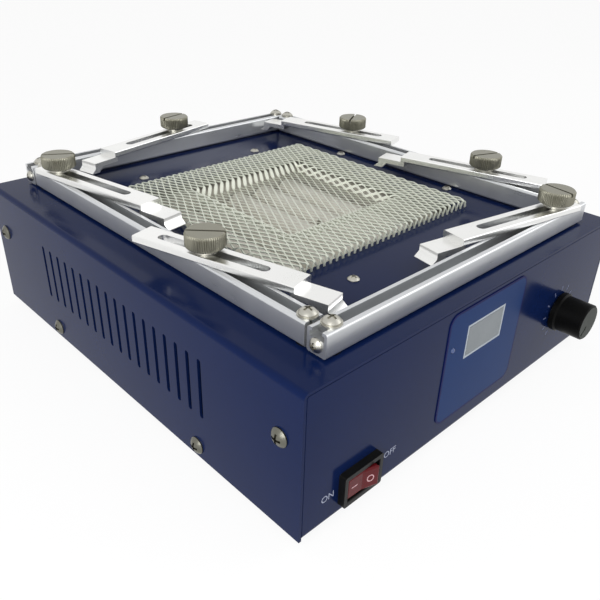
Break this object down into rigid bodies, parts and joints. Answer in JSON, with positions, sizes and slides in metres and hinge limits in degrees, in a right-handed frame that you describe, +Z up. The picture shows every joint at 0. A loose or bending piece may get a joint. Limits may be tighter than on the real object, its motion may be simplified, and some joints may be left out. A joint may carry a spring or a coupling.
{
  "type": "pcb preheater",
  "caption": "Bench-top infrared preheater for circuit boards: steel case, mesh-covered heater and a rail frame with sliding, swinging clamp arms held by thumb screws.",
  "frame": {"origin": "under the middle of the whole part's bounding box, at the bottom of the feet", "axes": "+Z up, front panel with the knob and switch towards -Y, +X to the right seen from the front"},
  "size_m": [0.2206, 0.2605, 0.0932],
  "materials": {
    "case_paint": "gloss navy paint on sheet steel",
    "screw_steel": "zinc plated",
    "foot_rubber": "matt black",
    "guard_mesh": "bright expanded metal",
    "tray_steel": "bright rolled sheet",
    "heater_ceramic": null,
    "insulation": "mineral fibre felt",
    "board_laminate": "green solder resist",
    "contact_brass": "plain",
    "winding_tape": "yellow winding tape on a laminated core",
    "rail_aluminium": "satin anodised",
    "window_plastic": "unlit grey-beige display filter",
    "label_film": "blue overlay film",
    "led_red": "diffused lens",
    "black_plastic": "moulded",
    "knob_black": "moulded",
    "knob_grey": "insert disc",
    "rocker_red": "moulded",
    "nut_steel": "zinc plated",
    "thumb_nickel": "nickel plated, straight knurl",
    "arm_metal": "bright, tumbled edges"
  },
  "bodies": {
    "case": {"base_chassis": "case_paint", "top_cover": "case_paint", "cover_screws": "screw_steel", "rubber_feet": "foot_rubber", "foot_screws": "screw_steel", "heater_guard": "guard_mesh", "guard_screws": "screw_steel", "reflector_tray": "tray_steel", "ceramic_heaters": "heater_ceramic", "insulation_pad": "insulation", "thermocouple": "screw_steel", "control_board": "board_laminate", "board_standoffs": "contact_brass", "board_transformer": "winding_tape", "triac_heatsink": "rail_aluminium", "display_board": "board_laminate", "display_window": "window_plastic", "front_label": "label_film", "power_led": "led_red", "potentiometer": "screw_steel", "potentiometer_nut": "screw_steel", "switch_body": "black_plastic", "power_inlet": "black_plastic", "inlet_blades": "contact_brass", "inlet_screws": "screw_steel", "rail_front": "rail_aluminium", "rail_back": "rail_aluminium", "rail_left": "rail_aluminium", "rail_right": "rail_aluminium", "rail_screws": "screw_steel", "rail_spacers": "black_plastic", "rail_end_screws": "screw_steel"},
    "knob": {"knob": "knob_black", "knob_cap": "knob_grey", "knob_shaft": "screw_steel"},
    "rocker": {"switch_rocker": "rocker_red"},
    "nut_1": {"slide_nut_1": "nut_steel"},
    "screw_1": {"thumb_screw_1": "thumb_nickel"},
    "washer_1": {"thumb_washer_1": "nut_steel"},
    "arm_1": {"clamp_arm_1": "arm_metal"},
    "nut_2": {"slide_nut_2": "nut_steel"},
    "screw_2": {"thumb_screw_2": "thumb_nickel"},
    "washer_2": {"thumb_washer_2": "nut_steel"},
    "arm_2": {"clamp_arm_2": "arm_metal"},
    "nut_3": {"slide_nut_3": "nut_steel"},
    "screw_3": {"thumb_screw_3": "thumb_nickel"},
    "washer_3": {"thumb_washer_3": "nut_steel"},
    "arm_3": {"clamp_arm_3": "arm_metal"},
    "nut_4": {"slide_nut_4": "nut_steel"},
    "screw_4": {"thumb_screw_4": "thumb_nickel"},
    "washer_4": {"thumb_washer_4": "nut_steel"},
    "arm_4": {"clamp_arm_4": "arm_metal"},
    "nut_5": {"slide_nut_5": "nut_steel"},
    "screw_5": {"thumb_screw_5": "thumb_nickel"},
    "washer_5": {"thumb_washer_5": "nut_steel"},
    "arm_5": {"clamp_arm_5": "arm_metal"},
    "nut_6": {"slide_nut_6": "nut_steel"},
    "screw_6": {"thumb_screw_6": "thumb_nickel"},
    "washer_6": {"thumb_washer_6": "nut_steel"},
    "arm_6": {"clamp_arm_6": "arm_metal"}
  },
  "joints": [
    {"name": "knob_turn", "type": "hinge", "parent": "case", "child": "knob", "pos_m": [0.068, -0.11395, 0.033], "axis": [0, 1, 0], "range_deg": [0, 270]},
    {"name": "rocker_tip", "type": "hinge", "parent": "case", "child": "rocker", "pos_m": [-0.078, -0.11245, 0.0177], "axis": [0, 0, 1], "range_deg": [0, 18]},
    {"name": "nut_slide_1", "type": "slide", "parent": "case", "child": "nut_1", "axis": [0, 1, 0], "range_m": [-0.045, 0.0003]},
    {"name": "screw_turn_1", "type": "hinge", "parent": "nut_1", "child": "screw_1", "pos_m": [-0.086, 0.08685, 0.084], "axis": [0, 0, 1], "continuous": true},
    {"name": "arm_pivot_1", "type": "hinge", "parent": "nut_1", "child": "washer_1", "pos_m": [-0.086, 0.08685, 0.084], "axis": [0, 0, 1], "range_deg": [0, 55]},
    {"name": "arm_slide_1", "type": "slide", "parent": "washer_1", "child": "arm_1", "axis": [0.1805, -0.9836, 0], "range_m": [-0.0012, 0.0004]},
    {"name": "nut_slide_2", "type": "slide", "parent": "case", "child": "nut_2", "axis": [0, 1, 0], "range_m": [-0.0008, 0.045]},
    {"name": "screw_turn_2", "type": "hinge", "parent": "nut_2", "child": "screw_2", "pos_m": [-0.086, -0.03525, 0.084], "axis": [0, 0, 1], "continuous": true},
    {"name": "arm_pivot_2", "type": "hinge", "parent": "nut_2", "child": "washer_2", "pos_m": [-0.086, -0.03525, 0.084], "axis": [0, 0, 1], "range_deg": [0, 55]},
    {"name": "arm_slide_2", "type": "slide", "parent": "washer_2", "child": "arm_2", "axis": [0.2588, -0.9659, 0], "range_m": [-0.0035, 0.001]},
    {"name": "nut_slide_3", "type": "slide", "parent": "case", "child": "nut_3", "axis": [1, 0, 0], "range_m": [-0.012, 0.04]},
    {"name": "screw_turn_3", "type": "hinge", "parent": "nut_3", "child": "screw_3", "pos_m": [0.0012, 0.11355, 0.084], "axis": [0, 0, 1], "continuous": true},
    {"name": "arm_pivot_3", "type": "hinge", "parent": "nut_3", "child": "washer_3", "pos_m": [0.0012, 0.11355, 0.084], "axis": [0, 0, 1], "range_deg": [0, 55]},
    {"name": "arm_slide_3", "type": "slide", "parent": "washer_3", "child": "arm_3", "axis": [-0.9767, -0.2147, 0], "range_m": [-0.0045, 0.009]},
    {"name": "nut_slide_4", "type": "slide", "parent": "case", "child": "nut_4", "axis": [0, -1, 0], "range_m": [-0.0002, 0.03]},
    {"name": "screw_turn_4", "type": "hinge", "parent": "nut_4", "child": "screw_4", "pos_m": [0.086, 0.04495, 0.084], "axis": [0, 0, 1], "continuous": true},
    {"name": "arm_pivot_4", "type": "hinge", "parent": "nut_4", "child": "washer_4", "pos_m": [0.086, 0.04495, 0.084], "axis": [0, 0, 1], "range_deg": [0, 55]},
    {"name": "arm_slide_4", "type": "slide", "parent": "washer_4", "child": "arm_4", "axis": [-0.2723, 0.9622, 0], "range_m": [-0.0095, 0.0002]},
    {"name": "nut_slide_5", "type": "slide", "parent": "case", "child": "nut_5", "axis": [0, -1, 0], "range_m": [-0.035, 0.004]},
    {"name": "screw_turn_5", "type": "hinge", "parent": "nut_5", "child": "screw_5", "pos_m": [0.086, -0.05045, 0.084], "axis": [0, 0, 1], "continuous": true},
    {"name": "arm_pivot_5", "type": "hinge", "parent": "nut_5", "child": "washer_5", "pos_m": [0.086, -0.05045, 0.084], "axis": [0, 0, 1], "range_deg": [0, 55]},
    {"name": "arm_slide_5", "type": "slide", "parent": "washer_5", "child": "arm_5", "axis": [-0.2588, 0.9659, 0], "range_m": [-0.0048, 0.02]},
    {"name": "nut_slide_6", "type": "slide", "parent": "case", "child": "nut_6", "axis": [-1, 0, 0], "range_m": [-0.0002, 0.04]},
    {"name": "screw_turn_6", "type": "hinge", "parent": "nut_6", "child": "screw_6", "pos_m": [0.066, -0.10145, 0.084], "axis": [0, 0, 1], "continuous": true},
    {"name": "arm_pivot_6", "type": "hinge", "parent": "nut_6", "child": "washer_6", "pos_m": [0.066, -0.10145, 0.084], "axis": [0, 0, -1], "range_deg": [0, 55]},
    {"name": "arm_slide_6", "type": "slide", "parent": "washer_6", "child": "arm_6", "axis": [-0.9842, 0.1771, 0], "range_m": [-0.001, 0.0004]}
  ]
}
